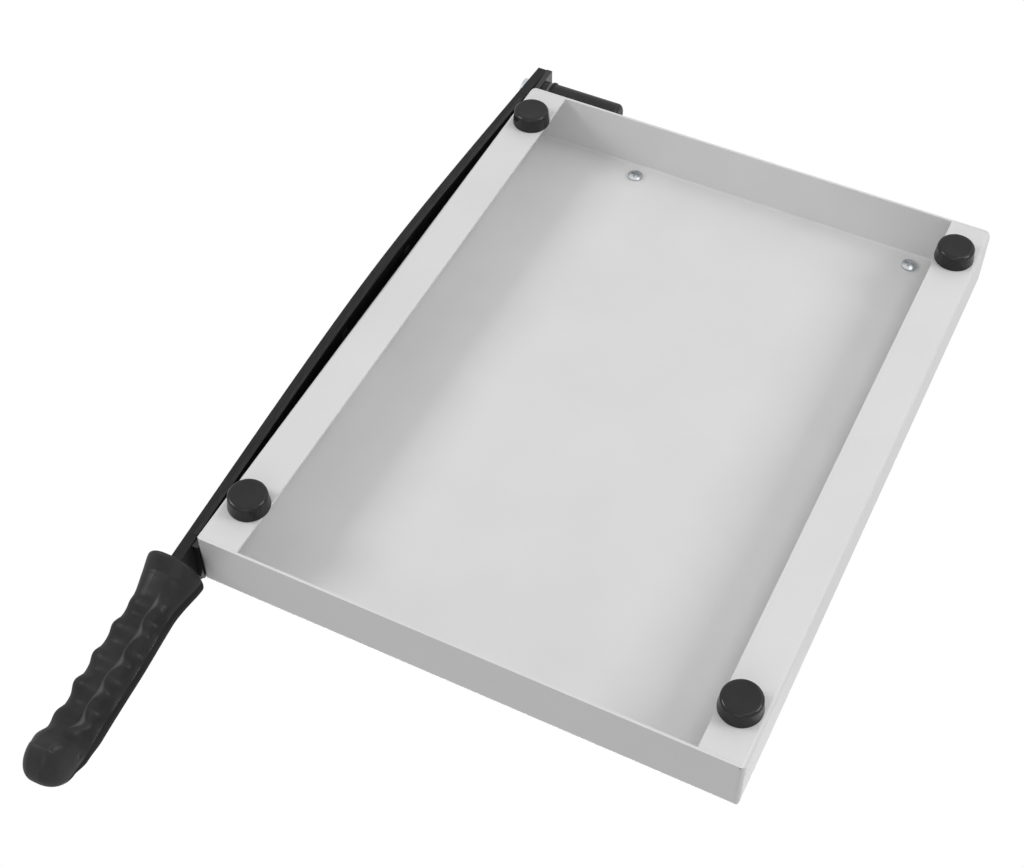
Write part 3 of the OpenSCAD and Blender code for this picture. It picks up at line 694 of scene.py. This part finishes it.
# %% Filled slits
CUBE_CORNERS = np.array([(x, y, z) for x in (0, 1) for y in (0, 1) for z in (0, 1)], float)
CUBE_FACES = np.array([
    (0, 1, 3, 2), (4, 6, 7, 5), (0, 4, 5, 1), (2, 3, 7, 6), (0, 2, 6, 4), (1, 5, 7, 3),
])
SLIT_FROM = np.array([105.0, 161.98, -30.44])
SLIT_SIZE = np.array([18.0, 0.34, 0.9])
slit_points, slit_faces = [], []
for side_x, side_y in ((-1, -1), (-1, 1), (1, -1), (1, 1)):
    turned_round = CUBE_FACES[:, ::-1] if side_x != side_y else CUBE_FACES
    slit_faces += [*(turned_round + 8 * len(slit_points))]
    slit_points.append((SLIT_FROM + SLIT_SIZE * CUBE_CORNERS) * (side_x, side_y, 1))
slit_points = MM * np.concatenate(slit_points)
add_piece("powder_in_slits", slit_points, slit_faces, POWDER, "table")

# %% [markdown]
# ## The rubber feet
#
# Each foot is turned round its own axis, so a profile of radius and height is enough. The
# sole's edge is an arc of 1.6 mm, which catches the two bright crescents that each foot
# has in the photograph. Above the flange, a stem with a barb holds the foot in its hole.

# %% Feet
FOOT_X, FOOT_Y, FLANGE_Z = 113.3, 138.6, -30.5
FOOT_SIDES = {
    "foot_front_left": (-1, -1), "foot_front_right": (1, -1),
    "foot_rear_left": (-1, 1), "foot_rear_right": (1, 1),
}


def arc(centre_r, centre_z, radius, start, stop, count=10):
    """Points of an arc, from one angle to another in degrees."""
    t = np.radians(np.linspace(start, stop, count))
    return np.stack([centre_r + radius * np.cos(t), centre_z + radius * np.sin(t)], axis=-1)


def lathe(profile, place, count=96):
    """Rings of points: each (r, z) of the profile, turned round a vertical axis."""
    t = np.linspace(0, 2 * np.pi, count, endpoint=False)[None]
    r, z = profile[:, :1], profile[:, 1:]
    x, y = place[0] + r * np.cos(t), place[1] + r * np.sin(t)
    return MM * np.stack([x, y, place[2] + z * np.ones_like(t)], axis=-1)


foot_profile = np.concatenate([
    [(1.0, -7.8), (5.0, -7.82), (6.2, -7.95)],
    arc(7.3, -6.4, 1.6, -90, 5),
    [(9.3, -2.2)],
    arc(9.1, -0.9, 0.4, 5, 0, 2),
    [(9.5, -0.7), (9.5, -0.25), (9.25, 0.0), (3.0, 0.0)],
    [(3.0, 1.2), (4.3, 1.25), (2.4, 4.2), (0.8, 4.2)],
])
for name, (side_x, side_y) in FOOT_SIDES.items():
    rings = lathe(foot_profile, (side_x * FOOT_X, side_y * FOOT_Y, FLANGE_Z))
    foot_faces = ring_faces(*rings.shape[:2])
    add_piece("rubber_" + name, rings, foot_faces, FOOT_RUBBER, "table", [name], 40)

# %% [markdown]
# ## The pivot spring
#
# The spring sits inside the sleeve and presses the arm against the bed knife. It is a
# round wire on a helix: the wire's circle is spread out from the helix's radius and from
# its axis, which is close enough, because the coils are nearly flat. Its length and its
# radius are read from the box of the construction model's spring.

# %% Spring
WIRE_D, TURNS = 1.4, 8


def spring_rings(turns, start_x, pitch, radius, wire, centre, per_turn=48, sides=14):
    """Rings of the wire. Turn t of the helix is at x = start - pitch * t, y = centre +
    radius * cos(2 pi t), z = centre + radius * sin(2 pi t)."""
    t = np.linspace(0, turns, int(turns * per_turn) + 1)[:, None]
    a, b = 2 * np.pi * t, np.linspace(0, 2 * np.pi, sides, endpoint=False)[None]
    reach = radius + wire / 2 * np.cos(b)
    x = start_x - pitch * t + wire / 2 * np.sin(b)
    return MM * np.stack([x, centre[0] + reach * np.cos(a), centre[1] + reach * np.sin(a)], axis=-1)


low_corner, high_corner = (np.array(corner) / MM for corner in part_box("pivot_spring"))
spring_start, spring_end = high_corner[0] - WIRE_D / 2, low_corner[0] + WIRE_D / 2
coil_radius = (high_corner[1] - low_corner[1] - WIRE_D) / 2
coil_centre = ((low_corner + high_corner) / 2)[1:]
coil_pitch = (spring_start - spring_end) / TURNS
rings = spring_rings(TURNS, spring_start, coil_pitch, coil_radius, WIRE_D, coil_centre)
add_piece(
    "pivot_spring_wire", rings, ring_faces(*rings.shape[:2]), WIRE, "table",
    ["pivot_spring"], 60,
)

# %% [markdown]
# ## The ruler's scale
#
# The ruler's sloping face has a millimetre scale, counted from the cutting edge, with a
# plain number at each centimetre. The ink is a raised film 0.03 mm thick. Marks are thin
# boxes that start just inside the slope; numbers are text turned into a mesh and laid
# beside them.

# %% Printing ink
INK_PATCH = 0.5 * MM


def printing_ink():
    material, tree, shader, place = start_material(
        "black_printing_ink", IOR=1.48, Roughness=0.5
    )
    patch = add(tree, "TexNoise", {"Vector": place, "Scale": 1 / INK_PATCH, "Detail": 2.0})
    surface(tree, shader, tones=(patch.outputs["Fac"], 0.35, 0.65, "#1b1b1d", "#2c2c2f"))
    return material


INK = printing_ink()
print(INK.name, "is a plain black with faint patches of", round(INK_PATCH / MM, 1), "mm")

# %% The ruler's slope
SLOPE_FOOT = np.array([RULER_FRONT, 2.6])
SLOPE_STEP = np.array([7.0, 4.4]) / math.hypot(7.0, 4.4)
SLOPE_NORMAL = np.array([-SLOPE_STEP[1], SLOPE_STEP[0]])


def on_slope(x, up, lift):
    """Places in millimetres for a place x along the ruler, up its slope, and lift off it."""
    yz = SLOPE_FOOT + up[..., None] * SLOPE_STEP + lift[..., None] * SLOPE_NORMAL
    return np.concatenate([x[..., None], yz], axis=-1)


# %% Scale marks
FIRST_MARK, LAST_MARK, MARKS_UP = 9, 239, 0.3
SHORT_MARK, HALF_MARK, LONG_MARK = 1.6, 2.5, 3.4
THIN_INK, BOLD_INK = 0.16, 0.24
INK_FROM, INK_TO = -0.05, 0.03

distance = np.arange(FIRST_MARK, LAST_MARK + 1)
tenth, fifth = distance % 10 == 0, distance % 5 == 0
length = np.where(tenth, LONG_MARK, np.where(fifth, HALF_MARK, SHORT_MARK))[:, None]
width = np.where(tenth, BOLD_INK, THIN_INK)[:, None]
across, along, out = CUBE_CORNERS.T
mark_x = TABLE_EDGE - distance[:, None] - width / 2 + width * across
mark_lift = INK_FROM + (INK_TO - INK_FROM) * out + 0 * mark_x
mark_points = MM * on_slope(mark_x, MARKS_UP + length * along, mark_lift)
mark_faces = (CUBE_FACES[None] + 8 * np.arange(len(distance))[:, None, None]).reshape(-1, 4)
add_piece("ruler_marks", mark_points, mark_faces, INK, "table", (), 30)

# %% [markdown]
# A number is Blender's own plain text. It is made a mesh first, and its points are then
# laid on the slope above their mark, so the object itself stays at the origin.

# %% Numbers
NUMBER_SIZE, NUMBERS_UP, NUMBER_HALF_THICKNESS = 3.2, 4.4, 0.04


def number_mesh(text, size):
    """Points and faces of a number as flat text, size millimetres high, centred on x."""
    curve = bpy.data.curves.new("number", "FONT")
    curve.body, curve.size, curve.align_x = text, size, "CENTER"
    curve.extrude = NUMBER_HALF_THICKNESS
    maker = bpy.data.objects.new("number", curve)
    mesh = bpy.data.meshes.new_from_object(maker)
    points = np.empty(len(mesh.vertices) * 3)
    mesh.vertices.foreach_get("co", points)
    faces = [list(face.vertices) for face in mesh.polygons]
    bpy.data.objects.remove(maker)
    bpy.data.curves.remove(curve)
    bpy.data.meshes.remove(mesh)
    return points.reshape(-1, 3), faces


number_points, number_faces, first = [], [], 0
for centimetre in range(1, LAST_MARK // 10 + 1):
    flat, faces = number_mesh(str(centimetre), NUMBER_SIZE)
    along, up, lift = flat.T
    number_points.append(on_slope(TABLE_EDGE - 10 * centimetre + along, NUMBERS_UP + up, lift))
    number_faces += [[first + i for i in face] for face in faces]
    first += len(flat)
number_points = MM * np.concatenate(number_points)
add_piece("ruler_numbers", number_points, number_faces, INK, "table", (), 30)

# %% [markdown]
# ## Light
#
# The studio in the photograph is a white tent. A soft light stands on either side, below
# the tray, and the one on the left is a little stronger, so the side wall is brighter than
# the front wall. A wide, weak one in front fills the front, and a long strip under the
# table draws the highlights along the arm and the handle. The fifth light is above, for
# looking at the table's top. What the camera, a mirror or glass sees of the room is plain
# white; what falls on the cutter from all round is only a part of that, the fill.

# %% White tent
FILL = 0.41
WHITE = (1, 1, 1, 1)
scene = bpy.context.scene
scene.view_settings.view_transform = "Standard"
tent = bpy.data.worlds.new("white_tent")
scene.world = tent
tent.use_nodes = True
tree = tent.node_tree
tree.nodes.clear()
ray = add(tree, "LightPath").outputs
seen = ray["Is Camera Ray"]
for kind in ("Is Transmission Ray", "Is Glossy Ray"):
    seen = add(tree, "Math", {0: seen, 1: ray[kind]}, operation="MAXIMUM").outputs[0]
white = add(tree, "Background", {"Color": WHITE, "Strength": 1.0})
fill = add(tree, "Background", {"Color": WHITE, "Strength": FILL})
room = add(tree, "MixShader", {0: seen, 1: fill.outputs[0], 2: white.outputs[0]})
add(tree, "OutputWorld", {"Surface": room.outputs[0]})
print("tent with a fill of", FILL)

# %% [markdown]
# Each light faces the middle of the table. It has a place in metres, a width, a length
# and a power in watts.

# %% Soft lights
SOFT_LIGHTS = {
    "left_soft_light": ((-1.10, 0.30, -0.90), 0.6, 0.6, 6.8),
    "right_soft_light": ((0.98, -0.35, -0.85), 0.5, 0.5, 5.8),
    "front_soft_light": ((-0.30, -1.40, -0.70), 0.9, 0.9, 2.2),
    "strip_light": ((-0.42, 0.45, -1.20), 0.25, 2.0, 3.2),
    "top_soft_light": ((0.25, 0.35, 1.65), 1.2, 1.2, 14.0),
}
for name, (place, width, length, watts) in SOFT_LIGHTS.items():
    data = bpy.data.lights.new(name, "AREA")
    data.shape, data.size, data.size_y, data.energy = "RECTANGLE", width, length, watts
    lamp = bpy.data.objects.new(name, data)
    away = Vector(place).normalized()
    side = Vector((0, 1, 0)).cross(away).normalized()
    facing = Matrix((side, away.cross(side), away)).transposed().to_4x4()
    lamp.matrix_world = Matrix.Translation(place) @ facing
    scene.collection.objects.link(lamp)
print("soft lights:", ", ".join(SOFT_LIGHTS))

# %% [markdown]
# ## Floor
#
# The cutter stands on a pale floor, which keeps its shadow in every view from above. The
# photograph looks at it from below, where a floor would be in the way, so the floor's
# material is clear from its back and pale from its front. It gives the cutter no light
# and takes none from it. Further out it fades into the white of the tent, as a paper
# sweep does, so no horizon is seen. That white is there for the camera's rays alone.

# %% Floor that only shows from above
FLOOR_REACH, FIBRE_PITCH = 6.0, 2 * MM
SWEEP_FROM, SWEEP_TO = 0.35, 1.6

floor_z = CAD_BOX[0][2]
floor_corners = [
    (FLOOR_REACH * x, FLOOR_REACH * y, floor_z) for x, y in ((-1, -1), (1, -1), (1, 1), (-1, 1))
]
floor_mesh = bpy.data.meshes.new("floor")
floor_mesh.from_pydata(floor_corners, [], [(0, 1, 2, 3)])
floor = bpy.data.objects.new("floor", floor_mesh)
scene.collection.objects.link(floor)
floor.visible_diffuse = floor.visible_glossy = floor.visible_shadow = False
paper, tree, shader, place = start_material("white_studio_paper", Roughness=0.9)
fibre = add(tree, "TexNoise", {"Vector": place, "Scale": 1 / FIBRE_PITCH, "Detail": 3.0})
surface(tree, shader, tones=(fibre.outputs["Fac"], 0.3, 0.7, "#ececec", "#f1f1f1"))
radius = add(tree, "VectorMath", {0: place}, operation="LENGTH").outputs["Value"]
far = add(
    tree, "MapRange", {"Value": radius, "From Min": SWEEP_FROM, "From Max": SWEEP_TO},
    interpolation_type="SMOOTHSTEP",
).outputs["Result"]
camera_ray = add(tree, "LightPath").outputs["Is Camera Ray"]
share = add(tree, "Math", {0: far, 1: camera_ray}, operation="MULTIPLY").outputs[0]
glow = add(tree, "Emission", {"Color": WHITE, "Strength": 1.0}).outputs[0]
sweep = add(tree, "MixShader", {0: share, 1: shader.outputs[0], 2: glow}).outputs[0]
back = add(tree, "NewGeometry").outputs["Backfacing"]
clear = add(tree, "BsdfTransparent").outputs[0]
sided = add(tree, "MixShader", {0: back, 1: sweep, 2: clear}).outputs[0]
tree.links.new(sided, tree.nodes["Material Output"].inputs["Surface"])
floor_mesh.materials.append(paper)
print("floor at z =", round(floor_z / MM, 1), "mm")
